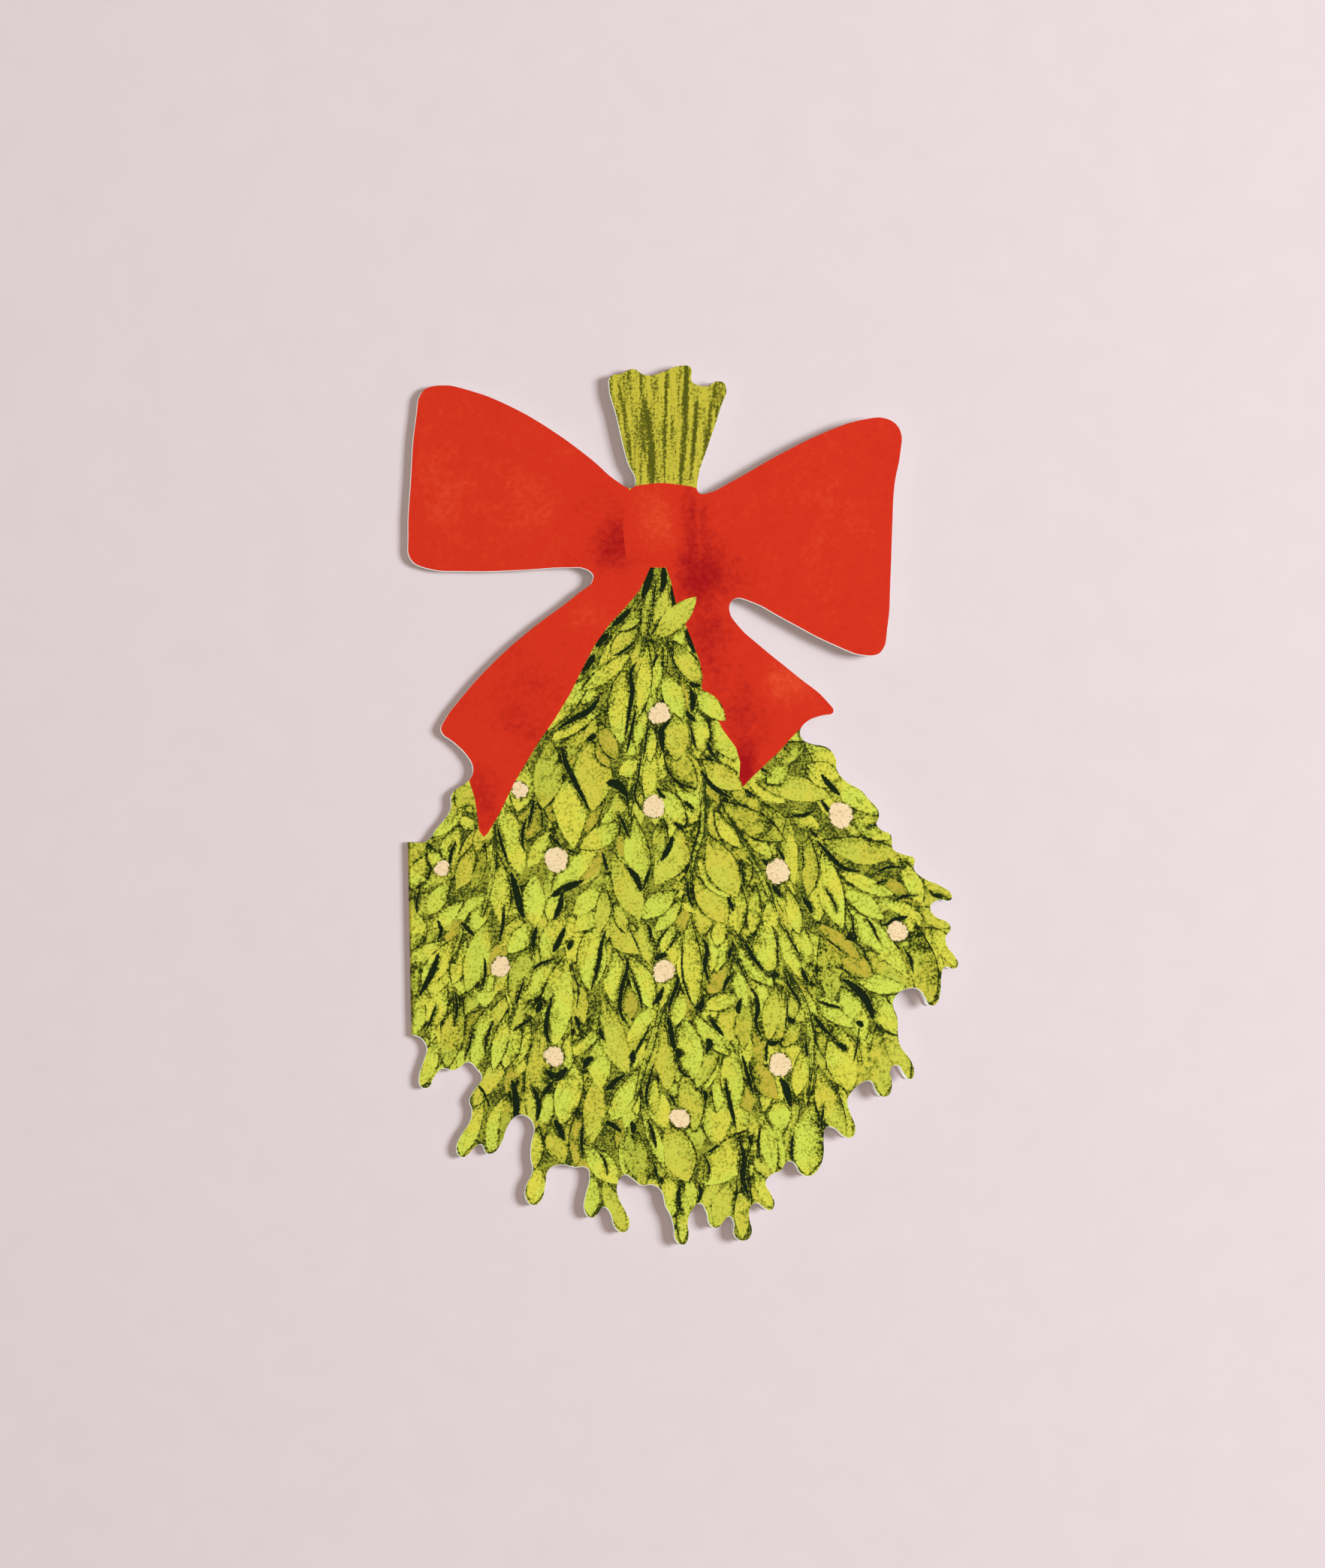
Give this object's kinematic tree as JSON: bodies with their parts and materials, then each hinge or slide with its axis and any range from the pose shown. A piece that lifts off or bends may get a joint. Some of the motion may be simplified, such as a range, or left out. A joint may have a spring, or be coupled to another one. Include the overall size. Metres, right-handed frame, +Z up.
{
  "type": "folded die-cut greeting card",
  "caption": "Printed greeting card die-cut to a hanging mistletoe bunch under a red ribbon bow; its front panel opens on a fold at the left side.",
  "frame": {"origin": "centre of the closed card's footprint, on the surface that the card's back lies on", "axes": "+Z up out of the printed front, +Y from the leaf tips to the cut stems at the top, +X from the fold to the free edge"},
  "size_m": [0.1086, 0.1742, 0.003],
  "materials": {
    "printed_board": "uncoated paperboard printed on its outer side with a crayon drawing of green leaves, pale berries and a red bow",
    "plain_board": "plain uncoated white paperboard, matte"
  },
  "bodies": {
    "back": {"back_panel": "plain_board", "fold_strip": "printed_board"},
    "front": {"front_panel": "printed_board"}
  },
  "joints": [
    {"name": "fold", "type": "hinge", "parent": "back", "child": "front", "pos_m": [-0.05366, -0.02546, 0.00065], "axis": [0, -1, 0], "range_deg": [0, 179.1], "deforming": ["fold_strip"]}
  ]
}
